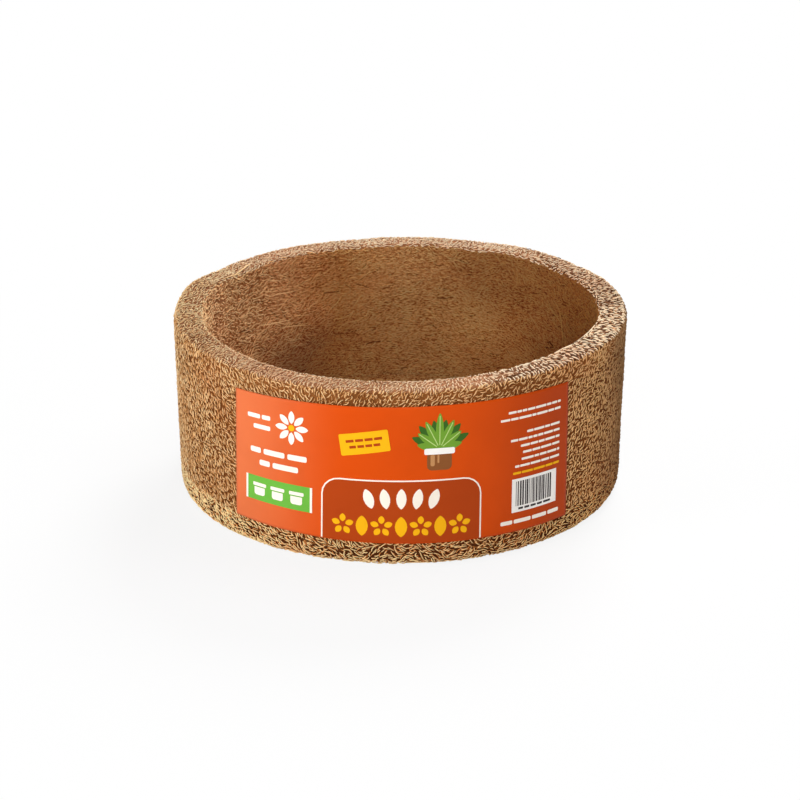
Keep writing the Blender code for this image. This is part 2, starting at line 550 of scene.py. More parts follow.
def makeFeltMaterial():
    material, tree, shader = newMaterial("coirFelt")
    where = objectPlace(tree)
    zone = addNode(tree, "ShaderNodeAttribute", attribute_name="feltZone").outputs["Fac"]
    toRim = spread(zone, 0.05, 0.45)
    toInside = spread(zone, 0.55, 0.95)
    inputs = {}
    for key, (outside, rim, inside) in feltTones.items():
        tone = blendColours(toRim, colour(*outside), colour(*rim))
        inputs[key] = blendColours(toInside, tone, colour(*inside))
    threads = noiseNode(where, 430.0, 3.0, 0.6, 1.0, "RIDGED_MULTIFRACTAL")
    fine = flatNoise(where, 2.6, 620.0, 3.0, 0.62, 0.8)
    creaseShade = flatNoise(where, 4.5, 95.0, 2.0, 0.5, 1.4)
    # nearer the ground the gaps are painted darker, painted shade, but not under the pot, and just
    # below the rim they are painted paler, painted light
    up = addNode(tree, "ShaderNodeSeparateXYZ", {0: where}).outputs["Z"]
    aboveGround = spread(up, 1.5 * mm, 4 * mm)
    foot = sums(spread(up, 9 * mm, 18 * mm, -0.3, 0.0), aboveGround, "MULTIPLY")
    upper = spread(up, 84 * mm, 93 * mm, 0.0, 0.24)
    outsideShade = sums(spread(threads, 0.15, 0.95, 0.0, 0.9), sums(foot, upper))
    insideShade = spread(fine, 0.34, 0.66, 0.0, 0.95)
    both = {0: toInside, 2: outsideShade, 3: insideShade}
    shade = addNode(tree, "ShaderNodeMix", both, data_type="FLOAT").outputs[0]
    # dark crease lines inside: their bump is relief, their darkening painted shade
    creaseShade = sums(spread(creaseShade, 0.24, 0.31, 0.5, 0.0), toInside, "MULTIPLY")
    shade = sums(shade, creaseShade, "SUBTRACT")
    inputs["Strand"] = shade
    group = addNode(tree, "ShaderNodeGroup", inputs, node_tree=fibreTone)
    # the casts paint light and shade with some tint; the gap casts paint shade between the strands
    tintedAndShaded = castOver(insideTintAndShade, group.outputs["Colour"], toInside)
    tintedAndShaded = castOver(rimGapShade, tintedAndShaded, sums(toRim, toInside, "SUBTRACT"))
    tintedAndShaded = castOver(insideGapShade, tintedAndShaded, toInside)
    # painted shade: the gaps near the ground are darker still, but not under the pot nor inside
    footGapShade = sums(spread(up, 10 * mm, 17 * mm, 1.0, 0.0), aboveGround, "MULTIPLY")
    footGapShade = sums(footGapShade, sums(1.0, toInside, "SUBTRACT"), "MULTIPLY")
    darker = blendColours(footGapShade, tintedAndShaded, (0.5, 0.44, 0.4, 1.0), "MULTIPLY")
    bump = {"Strength": 0.9, "Distance": 0.6 * mm, "Height": shade}
    finish = {
        "Base Color": darker,
        "Roughness": group.outputs["Roughness"],
        "Normal": addNode(tree, "ShaderNodeBump", bump).outputs["Normal"],
        "Specular IOR Level": 0.1,
    }
    feed(tree, shader.inputs, finish)
    return material


coirFelt = makeFeltMaterial()
print("coir materials made")


def addObject(name, data):
    made = bpy.data.objects.new(name, data)
    bpy.context.scene.collection.objects.link(made)
    return made


def meshFrom(name, shape):
    mesh = bpy.data.meshes.new(name)
    shape.to_mesh(mesh)
    shape.free()
    return mesh


def addPiece(name, mesh, material):
    mesh.materials.clear()
    mesh.materials.append(material)
    piece = addObject(name, mesh)
    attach(piece, "root")
    return piece


# The felt under the strands: the section turned round, then pressed into soft lumps
felt = {
    "wallSteps": 480,
    "wallSpacing": 1.6 * mm,
    "baseSteps": 300,
    "baseSpacing": 2.2 * mm,
    "sinks": (0.85 * mm, 0.75 * mm, 0.45 * mm),  # how deep it lies outside, on the rim, inside
    "lumps": ((0.26 * mm, 95), (0.16 * mm, 310)),  # size, and how many to the metre
    "skin": 3 * mm,
    "pressedPast": 2 * mm,  # how far past its edge the label presses the lumps flat
}


def feltZone(place):
    radius = hypot(place.x, place.y)
    if place.z > pot["height"] - 2 * mm:
        return 0.5
    if radius < innerAt(place.z) + 1 * mm and place.z > pot["floor"] - 1 * mm:
        return 1.0
    return 0.0


def makeFelt(name, corners, spacing, steps, node):
    shape = bmesh.new()
    ring = [shape.verts.new((p.x, 0.0, p.y)) for p in sectionOutline(corners, spacing)]
    edges = [shape.edges.new((ring[i - 1], ring[i])) for i in range(len(ring))]
    bmesh.ops.spin(
        shape,
        geom=ring + edges,
        cent=(0, 0, 0),
        axis=(0, 0, 1),
        angle=2 * pi,
        steps=steps,
        use_merge=True,
    )
    bmesh.ops.remove_doubles(shape, verts=shape.verts, dist=1e-6)
    bmesh.ops.recalc_face_normals(shape, faces=shape.faces)
    shape.normal_update()
    zone = shape.verts.layers.float.new("feltZone")
    for vert in shape.verts:
        vert[zone] = feltZone(vert.co)
    for vert in shape.verts:
        vert.co += vert.normal * (lumps(vert.co) - felt["sinks"][round(2 * vert[zone])])
    for vert in shape.verts:
        vert.co = settle(vert.co)
    mesh = meshFrom(name, shape)
    mesh.shade_smooth()
    piece = addPiece(name, mesh, coirFelt)
    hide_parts(node)


makeFelt("wallFelt", wallCorners, felt["wallSpacing"], felt["wallSteps"], "side_wall")
makeFelt("baseFelt", baseCorners, felt["baseSpacing"], felt["baseSteps"], "base_disc")
print("felt made")


# Loose strands. Lengths, radii, lifts and distances are in mm, and lift is from the nominal
# surface. The lay is the strands' way by the angle round the pot, in degrees: 0 runs up the
# section and 90 round the pot. A layer with a distance apart keeps its strands side by side.
strand = {
    "points": 5,
    "steps": 2,  # small steps between two points
    "cell": 0.42,
    "sides": 3,
    "shared": 0.3,  # how much of its way a strand may have in common with others
    "mostInPiece": 7000,
    "seed": 20,
    "farFrom": 0.3,  # a layer for the far side alone starts at this share of the way there
    "nearWall": 4 * mm,  # a strand this near the rim's radius may meet the label
    "underLabel": 6 * mm,  # none starts farther in under the label than this
    "pressed": -0.45 * mm,  # lift of a strand that the label lies on
    "hidden": 1.2 * mm,  # a strand wholly farther in than this is left out
    "taper": (0.72, 1.0, 0.66),
    "leastRadii": (10 * mm, 6 * mm),  # near the pot's middle the turns are as if this far out
}
# The scatter is in degrees to either side. The flow is how far and how finely neighbours
# bend together, the curl how far each bends alone. The arch lifts a strand's middle, and the
# crest paints a highlight on its top and shade on its flanks. The values in far change these
# towards that side.
usualZone = {
    "slot": "coir_wall",
    "points": strand["points"],
    "spill": 9.0,  # how far strands may run past the zone
    "flow": (1.0, 120),
    "arch": 0.2,
    "softBack": 0.0,  # how much of the far side's look the back is spared
    # paleBack paints light on the back and shade on the front
    "paleBack": 0.0,  # how much paler the back is, and darker the front
}
# On the far side shadeContrast paints shade on the layers beneath and light on the top ones, and
# paler paints light there
usualFar = {"coarser": 1.0, "sparser": 1.0, "crest": 0.0, "shadeContrast": 0.0, "paler": 0.0, "spill": 0.0}


# Tries in a square cm, and the strands' lengths, radii and lifts. The shade has a middle and
# a spread.
def layer(tries, length, radius, lift, shade, **more):
    plan = {"tries": tries, "length": length, "radius": radius, "lift": lift, "shade": shade}
    return {**plan, **more}


# for the layers beneath, which fill the gaps, with darker shades that paint the shade there
under = {"points": 4, "under": True}
zones = [
    {
        "name": "outerStrands", "coir": "outside",
        "from": wallStart, "to": rimStart, "spill": 1.2,
        "lay": [(0, 50), (30, 10), (150, 0), (212, -26), (228, -50), (244, -30), (256, 30),
                (275, 46), (320, 46), (345, 52), (360, 50)],
        "scatter": 44, "curl": 1.3, "crest": 0.2,
        "farSide": (0 * mm, 80 * mm),
        "far": {"sparser": 1.08, "crest": 0.26, "shadeContrast": 0.12, "paler": 0.26},
        "layers": [
            layer(90, (1.8, 4), (0.3, 0.37), (-0.7, -0.48), (0.42, 0.07), apart=0.8, **under),
            layer(180, (1.8, 5), (0.29, 0.36), (-0.34, -0.12), (0.68, 0.07), apart=0.95),
        ],
    },
    {
        "name": "footStrands", "coir": "foot",
        "from": footStart - 2 * mm, "to": wallStart,
        "lay": [(0, 75), (180, 90), (215, 128), (250, 128), (268, 92), (285, 78), (300, 70),
                (360, 75)],
        "scatter": 36, "flow": (1.4, 110), "curl": 0.9, "arch": 0.3, "crest": 0.58,
        "layers": [
            layer(90, (2, 5), (0.32, 0.4), (-0.9, -0.62), (0.08, 0.08), apart=0.75, **under),
            layer(260, (2, 7), (0.29, 0.36), (-0.4, -0.05), (0.9, 0.1), apart=0.8),
        ],
    },
    {
        "name": "rimStrands", "coir": "rim",
        "from": rimStart, "to": innerStart, "spill": 0.8,
        "lay": [(0, 0), (45, 17), (90, 49), (135, 83), (180, 126), (225, 173), (270, 214),
                (315, 152), (360, 180)],
        "scatter": 28, "curl": 1.2, "crest": 0.22,
        "farSide": (30 * mm, 85 * mm),
        "far": {"coarser": 1.1, "sparser": 1.25, "crest": 0.28, "shadeContrast": 0.46, "paler": 0.05},
        "softBack": 0.8,
        "paleBack": 0.13,
        "edge": 3.2,  # within this of the inner edge the strands turn along it
        "layers": [
            layer(100, (1.8, 4), (0.29, 0.36), (-0.72, -0.5), (0.47, 0.07), apart=0.8, **under),
            layer(210, (1.8, 4.6), (0.28, 0.35), (-0.36, -0.16), (0.77, 0.07), apart=0.92),
        ],
    },
    # dark strands that paint the shade of creases on the rim's far side
    {
        "name": "rimCreaseShadeStrands", "coir": "rimCreaseShade",
        "from": rimStart + 1 * mm, "to": innerStart, "spill": 0.5,
        "lay": [(0, 0), (45, 30), (90, 60), (270, 240), (315, 330), (360, 360)],
        "scatter": 24, "flow": (0.8, 120), "curl": 0.9, "arch": 0.1, "crest": 0.0,
        "farSide": (30 * mm, 85 * mm),
        "softBack": 0.8,
        "layers": [
            layer(3, (1.6, 5), (0.2, 0.27), (-0.14, -0.02), (0.45, 0.15), apart=1.6, onlyFar=True),
        ],
    },
    {
        "name": "innerStrands", "coir": "inside",
        "from": innerStart, "to": floorStart, "spill": 0.4,
        "lay": [(0, 100), (50, 104), (65, 92), (88, 84), (112, 66), (128, 84), (150, 90),
                (180, 102), (230, 90), (360, 100)],
        "scatter": 27, "flow": (1.2, 120), "curl": 0.9, "crest": 0.44,
        "farSide": (-45 * mm, -85 * mm),
        "far": {"coarser": 1.1, "sparser": 1.08, "crest": 0.16, "shadeContrast": 0.1, "paler": 0.2,
                "spill": 3.0},
        "layers": [
            layer(80, (1.8, 4), (0.27, 0.34), (-0.66, -0.44), (0.18, 0.08), apart=0.85, **under),
            layer(120, (1.8, 5.5), (0.26, 0.33), (-0.34, -0.12), (0.67, 0.15), apart=0.98),
            layer(0.5, (5, 13), (0.2, 0.28), (-0.2, 0.0), (0.92, 0.08)),
            layer(1.5, (4, 10), (0.22, 0.28), (-0.2, 0.0), (0.85, 0.08), onlyFar=True),
        ],
    },
    # dark strands that paint the shade of creases inside
    {
        "name": "innerCreaseShades", "coir": "creaseShade",
        "from": innerStart + 6 * mm, "to": floorStart,
        "lay": [(0, 90), (360, 90)],
        "scatter": 20, "flow": (0.8, 70), "curl": 0.6, "arch": 0.05, "crest": 0.0,
        "layers": [layer(0.8, (2.5, 9), (0.2, 0.32), (-0.4, -0.28), (0.5, 0.3))],
    },
    {
        "name": "floorStrands", "coir": "inside", "slot": "coir_base",
        "from": floorStart, "to": drainStart, "spill": 5.0,
        "lay": [(0, 0), (360, 0)],
        "scatter": 180, "flow": (0.5, 70), "curl": 1.3, "crest": 0.12,
        "flat": True,  # spread evenly over a disc
        "layers": [layer(24, (3, 10), (0.22, 0.32), (-0.5, -0.08), (0.5, 0.2), points=4)],
    },
    {
        "name": "undersideStrands", "coir": "outside", "slot": "coir_base",
        "from": 1 * mm, "to": footStart - 2 * mm,
        "lay": [(0, 0), (360, 0)],
        "scatter": 180, "flow": (0.5, 70), "curl": 1.2, "arch": 0.05, "crest": 0.12,
        "flat": True,
        "layers": [layer(24, (3, 10), (0.26, 0.36), (-0.44, -0.34), (0.45, 0.2), points=4)],
    },
]
picker = random.Random(strand["seed"])


def placeOnPot(run, angle, lift):
    point, out = alongSection(run)
    place = turnRound(point.x, point.y, angle)
    return place, turnRound(out.x, out.y, angle), lift + lumps(place)


# How far a place lies to the zone's far side, where its strands look otherwise
def towardsFarSide(plan, across):
    if "farSide" not in plan:
        return 0.0
    near, far = plan["farSide"]
    return min(max((across - near) / (far - near), 0.0), 1.0)


def layAt(plan, angle):
    angle = degrees(angle) % 360
    for (before, first), (after, last) in zip(plan["lay"], plan["lay"][1:]):
        if angle <= after:
            return radians(first + (last - first) * (angle - before) / (after - before))
    return radians(last)


# A way over the pot in small steps of run, angle and radius
def strandWay(plan, run, angle, length, far):
    own = layAt(plan, angle)
    if "edge" in plan:
        near = max(0.0, 1 - (plan["to"] - run) / (plan["edge"] * mm))
        near *= min(max(1 + cos(angle) / 0.5, 0.0), 1.0)
        along = pi * (0.5 + round(own / pi - 0.5))
        own += (along - own) * min(1.0, 1.6 * near)
    own += radians(picker.uniform(-1, 1) * plan["scatter"])
    curl = picker.gauss(0, plan["curl"])
    spill = (plan["spill"] + far * plan["far"]["spill"]) * mm
    low, high = plan["from"] - spill, plan["to"] + spill
    radius = alongSection(run)[0].x
    leastAtStart, leastOnWay = strand["leastRadii"]
    run -= cos(own) * length / 2
    angle -= sin(own) * length / 2 / max(radius, leastAtStart)
    count = (plan["points"] - 1) * strand["steps"]
    step = length / count
    strength, scale = plan["flow"]
    way = []
    for index in range(count + 1):
        if index % strand["steps"] == 0:
            point = alongSection(run)[0]
            radius = max(point.x, leastOnWay)
            where = turnRound(point.x, point.y, angle)
            turned = own + strength * noise.noise(where * scale) + curl * (index / count - 0.5)
        way.append((run, angle, radius))
        run += cos(turned) * step
        angle += sin(turned) * step / radius
    # a strand that would run past its zone is drawn back as a whole
    over = max(0.0, max(place[0] for place in way) - high)
    short = max(0.0, low - min(place[0] for place in way))
    back = (short - over) * picker.uniform(1.0, 1.4)
    return [(run + back, angle, radius) for run, angle, radius in way]


# Marks the cells near a strand's way, so that the next ones keep their distance
def takeCells(cells, apart, taken):
    reach = apart / strand["cell"]
    most = int(reach)
    for up in range(-most, most + 1):
        for aside in range(-most, most + 1):
            if up * up + aside * aside <= reach * reach:
                taken.update((first + up, second + aside) for first, second in cells)


# One strand's places, outward ways, thickness, shade and crest, or nothing where it has
# no room
def layStrand(plan, length, taken):
    run = picker.uniform(plan["from"], plan["to"])
    angle = picker.uniform(0, 2 * pi)
    if "flat" in plan and picker.random() > alongSection(run)[0].x / pot["rimRadius"]:
        return None
    cell = strand["cell"] * mm
    around = plan["middleRadius"] / cell
    if (round(run / cell), round(angle * around)) in taken:
        return None
    middle = alongSection(run)[0]
    wallRadius = pot["rimRadius"] - strand["nearWall"]
    if middle.x > wallRadius and insideLabel(angle, middle.y) > strand["underLabel"]:
        return None
    far = towardsFarSide(plan, middle.x * cos(angle))
    far *= 1 - plan["softBack"] * max(0.0, sin(angle))
    if "onlyFar" in plan and far < strand["farFrom"]:
        return None
    coarser = 1 + far * (plan["far"]["coarser"] - 1)
    way = strandWay(plan, run, angle, length * mm * coarser, far)
    cells = {(round(part / cell), round(turn % (2 * pi) * around)) for part, turn, _ in way}
    if sum(each in taken for each in cells) > strand["shared"] * len(cells):
        return None
    lift = picker.uniform(*plan["lift"]) * mm
    thickness = picker.uniform(*plan["radius"]) * mm * coarser
    arch = plan["arch"] * picker.uniform(0.4, 1.3) * mm
    # painted light at the back and painted shade at the front, and on the far side painted shade
    # beneath and painted light on top
    shade = picker.gauss(*plan["shade"]) + plan["paleBack"] * sin(angle)
    shade += far * plan["far"]["shadeContrast"] * (-1 if "under" in plan else 0.5)
    shade += far * plan["far"]["paler"]
    shade = min(max(shade, 0.0), 1.0)
    crest = plan["crest"] + far * plan["far"]["crest"]
    count = plan["points"]
    places, outs = [], []
    hidden = 0
    for index in range(count):
        run, angle, radius = way[index * strand["steps"]]
        height = alongSection(run)[0].y
        high = lift + arch * (sin(pi * index / (count - 1)) - 0.5)
        if radius > wallRadius:
            cover = insideLabel(angle, height)
            if cover > 0:
                high = min(high, strand["pressed"])
            hidden += cover > strand["hidden"]
        place, outward, high = placeOnPot(run, angle, high)
        place = settle(place + outward * high)
        place.z = max(place.z, thickness * 0.8)
        places.append(place)
        outs.append(outward)
    if hidden == count:
        return None
    if "apart" in plan:
        sparser = 1 + far * (plan["far"]["sparser"] - 1)
        takeCells(cells, plan["apart"] * coarser * sparser, taken)
    return places, outs, thickness, shade, crest


def makeBevelShape():
    data = bpy.data.curves.new("strandSection", "CURVE")
    data.dimensions = "2D"
    spline = data.splines.new("POLY")
    spline.points.add(strand["sides"] - 1)
    for index, point in enumerate(spline.points):
        turn = -2 * pi * index / strand["sides"]
        point.co = (cos(turn), sin(turn), 0.0, 1.0)
    spline.use_cyclic_u = True
    return addObject("strandSection", data)


def strandMesh(name, strands, bevelShape):
    data = bpy.data.curves.new(name, "CURVE")
    data.dimensions = "3D"
    data.bevel_mode = "OBJECT"
    data.bevel_object = bevelShape
    first, middle, last = strand["taper"]
    for places, outs, thickness, *_ in strands:
        taper = [first] + [middle] * (len(places) - 2) + [last]
        spline = data.splines.new("POLY")
        spline.points.add(len(places) - 1)
        spline.points.foreach_set("co", [c for p in places for c in (*p, 1.0)])
        spline.points.foreach_set("radius", [thickness * share for share in taper])
    holder = addObject(name, data)
    depsgraph = bpy.context.evaluated_depsgraph_get()
    mesh = bpy.data.meshes.new_from_object(holder.evaluated_get(depsgraph))
    bpy.data.objects.remove(holder)
    # painted highlight on a strand's top and painted shade on its flanks
    shades = []
    for places, outs, thickness, shade, crest in strands:
        for place, out in zip(places, outs):
            for _ in range(strand["sides"]):
                up = (mesh.vertices[len(shades)].co - place).dot(out) / thickness
                shades.append(shade + crest * up)
    mesh.attributes.new("strandShade", "FLOAT", "POINT").data.foreach_set("value", shades)
    shape = bmesh.new()
    shape.from_mesh(mesh)
    bmesh.ops.edgeloop_fill(shape, edges=[edge for edge in shape.edges if edge.is_boundary])
    bmesh.ops.recalc_face_normals(shape, faces=shape.faces)
    shape.to_mesh(mesh)
    shape.free()
    mesh.shade_smooth()
    return mesh


def growZone(zone, bevelShape):
    zone = {**usualZone, **zone, "far": {**usualFar, **zone.get("far", {})}}
    first, last = zone["from"], zone["to"]
    middle = alongSection((first + last) / 2)[0].x
    area = 2 * pi * middle * (last - first)
    laid = []
    counts = []
    for own in zone["layers"]:
        plan = {**zone, **own, "middleRadius": middle}
        tries = round(plan["tries"] * area / squareCm)
        taken = set()
        made = []
        for index in range(tries):
            shortest, longest = plan["length"]
            if "apart" in plan:
                longest -= (longest - shortest) * index / tries
            one = layStrand(plan, picker.uniform(shortest, longest), taken)
            if one:
                made.append(one)
        counts.append(round(len(made) * squareCm / area, 1))
        laid += made
    pieces = ceil(len(laid) / strand["mostInPiece"])
    for index in range(pieces):
        share = laid[index::pieces]
        name = f"{zone['name']}{index + 1}"
        mesh = strandMesh(name, share, bevelShape)
        addPiece(name, mesh, coir[zone["coir"]])
    print(f"{zone['name']}: {len(laid)} strands in {pieces} pieces, {counts} in a square cm")


bevelShape = makeBevelShape()
for zone in zones:
    growZone(zone, bevelShape)

# Single strands that stand out inside and on the rim, and a few dark strands that paint the shade
# of creases. Each goes from
# place to place: the angle in degrees, and the mm past the rim's inner edge.
loneStrands = [
    [(34.3, 16.5), (32.2, 19.5), (31.0, 23.8), (30.3, 28.9), (29.6, 34.6), (29.1, 41.1)],
    [(37.6, 20.1), (35.1, 23.0), (32.6, 25.3), (30.9, 27.4)],
    [(77.0, 1.3), (74.4, 4.0), (71.8, 4.8), (68.2, 6.5)],
    [(73.1, 4.4), (72.1, 2.4), (71.2, 0.3)],
    [(80.5, 4.8), (79.5, 6.6), (78.6, 8.4)],
    [(108.0, 0.8), (106.3, -0.1), (104.7, -2.3)],
    [(114.9, -2.1), (113.6, -0.5), (112.3, 1.7)],
    [(119.3, -3.4), (117.6, -2.2), (116.3, -0.6)],
    [(110.4, 49.3), (109.1, 45.8), (106.7, 43.8), (103.4, 43.2), (100.8, 40.4), (99.9, 37.3)],
    [(105.3, 35.8), (104.0, 31.7), (102.0, 26.9)],
    [(111.7, 40.7), (108.4, 40.9), (106.0, 38.9), (104.7, 36.6)],
    [(120.2, 32.4), (119.1, 29.7), (116.7, 28.0)],
    [(114.0, 38.2), (112.6, 34.2), (110.6, 31.5), (108.9, 27.5)],
    [(154.7, -3.6), (149.0, -3.3), (142.9, -5.6), (140.0, -6.9)],
    [(135.2, 18.0), (131.2, 18.1), (126.6, 18.8), (123.6, 18.7)],
    [(139.1, 33.5), (134.8, 35.0), (130.8, 35.7), (128.0, 35.7)],
    [(130.8, 39.4), (127.0, 39.9), (123.2, 40.8), (119.0, 42.3)],
    [(145.8, 38.3), (142.9, 37.6), (141.0, 37.4)],
    [(122.8, 16.5), (120.7, 14.2), (118.5, 13.0)],
]
loneCreaseShades = [
    [(78.2, 29.7), (75.6, 29.3), (73.0, 28.2)],
    [(114.5, 23.6), (111.8, 23.7), (109.2, 23.7)],
    [(99.0, 50.2), (97.7, 49.7)],
    [(80.4, 47.7), (79.1, 46.9)],
    [(101.0, 58.9), (99.0, 57.8), (96.1, 57.5)],
    [(36.6, 41.8), (35.6, 43.1), (34.1, 44.1)],
    [(38.4, 46.5), (36.5, 46.1), (34.6, 44.4)],
    [(37.4, 42.6), (36.0, 44.4)],
    [(140.5, 18.5), (137.0, 19.7)],
    [(144.4, 9.6), (142.9, 9.2), (141.5, 8.1)],
    [(129.5, 30.0), (128.4, 33.6)],
    [(149.8, 32.2), (146.2, 32.6), (144.2, 32.5)],
]
rimStrand = [(318, -2.4), (322, -2.8), (327, -2.1), (333, -2.1), (338.4, -2.5), (343.7, -3.4)]
rimCreaseShades = [
    [(326.4, -3.0), (330.1, -3.2), (334.7, -3.6)],
    [(2.0, -3.8), (1.9, -6.8), (1.8, -11.2)],
    [(351.2, -3.8), (351.7, -6.3), (352.4, -9.5)],
    [(344.9, -6.3), (346.0, -8.7), (345.5, -11.6)],
    [(319.8, -15.2), (320.1, -11.7)],
    [(296.5, -14.5), (299.0, -15.0), (301.2, -14.7)],
    [(302.8, -15.1), (306.0, -14.4)],
]


def layLone(path, lift, thickness, shade):
    places, outs = [], []
    for angle, past in path:
        run = innerEdge + past * mm
        place, outward, high = placeOnPot(run, radians(angle), lift)
        places.append(settle(place + outward * high))
        outs.append(outward)
    return places, outs, thickness, shade, 0.1


for name, paths, lift, thickness, shade, kind in (
    ("loneStrands", loneStrands, 0.0, 0.36, 1.0, "inside"),
    ("loneCreaseShades", loneCreaseShades, -0.26, 0.4, 0.1, "creaseShade"),
    ("rimLoneStrand", [rimStrand], 0.3, 0.34, 1.0, "rim"),
    ("rimCreaseShades", rimCreaseShades, -0.02, 0.34, 0.3, "rimCreaseShade"),
):
    laid = [layLone(path, lift * mm, thickness * mm, shade) for path in paths]
    addPiece(name, strandMesh(name, laid, bevelShape), coir[kind])
bpy.data.objects.remove(bevelShape)
print("lone strands laid")


# The printed label. Its orange is paler at the left end, a painted sheen, and browner at the right,
# painted shade.
inks = {
    "orange": (214, 76, 5),
    "orangeLeftSheen": (222, 113, 65),
    "orangeRightShade": (178, 63, 8),
    "maroon": (175, 65, 14),
    "green": (108, 180, 66),
    "leaf": (112, 158, 52),
    "darkLeaf": (58, 100, 34),
    "paleLeaf": (190, 214, 132),
    "tan": (190, 138, 88),
    "yellow": (247, 182, 18),
    "cream": (252, 242, 228),
    "white": (250, 246, 240),
    "brown": (138, 84, 44),
    "grey": (66, 60, 60),
}


def inkMaterial(name, inkName, gloss=0.5):
    material, tree, shader = newMaterial(name)
    inputs = {"Ink": colour(*inks[inkName]), "Mottle": 0.18, "Gloss": gloss}
    group = addNode(tree, "ShaderNodeGroup", inputs, node_tree=printWear)
    bump = {"Strength": 0.15, "Distance": 0.05 * mm, "Height": group.outputs["Height"]}
    finish = {
        "Base Color": group.outputs["Colour"],
        "Roughness": group.outputs["Roughness"],
        "Normal": addNode(tree, "ShaderNodeBump", bump).outputs["Normal"],
        "Specular IOR Level": 0.08,
    }
    feed(tree, shader.inputs, finish)
    return material, tree, group


def thicken(piece, name, thickness):
    body = piece.modifiers.new(name, "SOLIDIFY")
    body.thickness = thickness
    body.offset = 1.0


def makeSheet():
    material, tree, group = inkMaterial("orangeInk", "orange", 0.45)
    where = addNode(tree, "ShaderNodeUVMap", uv_map="sheet").outputs["UV"]
    along = addNode(tree, "ShaderNodeSeparateXYZ", {0: where}).outputs["X"]
    # a painted sheen at the left end and painted shade at the right
    left, middle, right = (colour(*inks[key]) for key in ("orangeLeftSheen", "orange", "orangeRightShade"))
    tone = blendColours(spread(along, 0.0, 0.36), left, middle)
    tone = blendColours(spread(along, 0.66, 1.0), tone, right)
    feed(tree, group.inputs, {"Ink": tone})
    shape = bmesh.new()
    across = round(label["width"] / label["cell"])
    up = round(label["height"] / label["cell"])
    bmesh.ops.create_grid(shape, x_segments=across, y_segments=up, size=0.5)
    uvs = shape.loops.layers.uv.new("sheet")
    for face in shape.faces:
        for loop in face.loops:
            loop[uvs].uv = (loop.vert.co.x + 0.5, loop.vert.co.y + 0.5)
    for vert in shape.verts:
        flat = vert.co.copy()
        vert.co = onLabel(flat.x * label["width"], (flat.y + 0.5) * label["height"], 0.0)
    shape.normal_update()
    mesh = meshFrom("labelSheet", shape)
    mesh.shade_smooth()
    piece = addPiece("labelSheet", mesh, material)
    thicken(piece, "paper", label["thickness"])
    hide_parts("label")


makeSheet()
print("label sheet made")

# The print lies flat at first: x runs along the label from its middle, y up from its foot
# edge, both in mm. Then it is cut into strips and wrapped on the sheet.
ink = {"thickness": 0.04 * mm, "gap": 0.04 * mm, "level": 0.06 * mm, "strip": 2.2 * mm}


def flatPlace(x, y, turn=0.0, wide=1.0, tall=1.0):
    return (
        Matrix.Translation((x * mm, y * mm, 0))
        @ Matrix.Rotation(radians(turn), 4, "Z")
        @ Matrix.Diagonal((wide * mm, tall * mm, 1, 1))
    )


def drawBar(shape, x, y, wide, tall, turn=0.0, rounding=0.0, corners=(0, 1, 2, 3)):
    place = flatPlace(x, y, turn, wide, tall)
    made = bmesh.ops.create_grid(shape, x_segments=1, y_segments=1, size=0.5, matrix=place)
    if rounding:
        bmesh.ops.bevel(
            shape,
            geom=[made["verts"][index] for index in corners],
            offset=rounding * mm,
            affect="VERTICES",
            segments=5,
            profile=0.5,
            material=-1,
        )


def drawDisc(shape, x, y, wide, tall=None, turn=0.0, sides=20):
    place = flatPlace(x, y, turn, wide / 2, (tall or wide) / 2)
    bmesh.ops.create_circle(shape, cap_ends=True, segments=sides, radius=1, matrix=place)


# Pointed at both ends, from x, y to the way it is turned
def drawLeaf(shape, x, y, long, wide, turn, up=0.0):
    made = bmesh.ops.create_circle(shape, cap_ends=True, segments=16, radius=1)
    for vert in made["verts"]:
        vert.co.y *= abs(vert.co.y) ** 0.5
        vert.co.x += 1
    place = Matrix.Translation((0, 0, up * mm)) @ flatPlace(x, y, turn, long / 2, wide / 2)
    bmesh.ops.transform(shape, matrix=place, verts=made["verts"])


def drawFlower(shape, x, y, size, petals=6, turn=0.0):
    for index in range(petals):
        way = turn + 360 * index / petals
        reach = 0.13 * size
        middleX = x + reach * cos(radians(way))
        middleY = y + reach * sin(radians(way))
        drawLeaf(shape, middleX, middleY, 0.38 * size, 1.7 * size / (petals + 1), way)


# A row of short bars, as set words look from far off
def drawRow(shape, left, right, y, tall, gap):
    x = left
    while x < right - 1.5 * gap:
        wide = min(printer.uniform(2.6, 8.5) * tall / 1.4, right - x)
        if right - x - wide < 2.5 * gap:
            wide = right - x
        drawBar(shape, x + wide / 2, y, wide, tall, rounding=0.3 * tall)
        x += wide + gap


def cutStrips(shape, way, first, last):
    cuts = ceil((last - first) / ink["strip"])
    for index in range(1, cuts):
        bmesh.ops.bisect_plane(
            shape,
            geom=shape.verts[:] + shape.edges[:] + shape.faces[:],
            plane_co=way * (first + index * ink["strip"]),
            plane_no=way,
            dist=1e-7,
        )


def wrapPrint(name, shape, inkName, level):
    acrossPlaces = [vert.co.x for vert in shape.verts]
    upPlaces = [vert.co.y for vert in shape.verts]
    cutStrips(shape, Vector((1, 0, 0)), min(acrossPlaces), max(acrossPlaces))
    cutStrips(shape, Vector((0, 1, 0)), min(upPlaces), max(upPlaces))
    shape.normal_update()
    upsideDown = [face for face in shape.faces if face.normal.z < 0]
    bmesh.ops.reverse_faces(shape, faces=upsideDown)
    rise = label["thickness"] + ink["gap"] + level * ink["level"]
    for vert in shape.verts:
        vert.co = onLabel(vert.co.x, vert.co.y, rise + vert.co.z)
    material = inkMaterial(name + "Ink", inkName)[0]
    piece = addPiece(name, meshFrom(name, shape), material)
    thicken(piece, "ink", ink["thickness"])


printer = random.Random(7)
smallPrint = {"rows": 6, "top": 58.5, "pitch": 3.7, "tall": 1.3, "gap": 0.45}

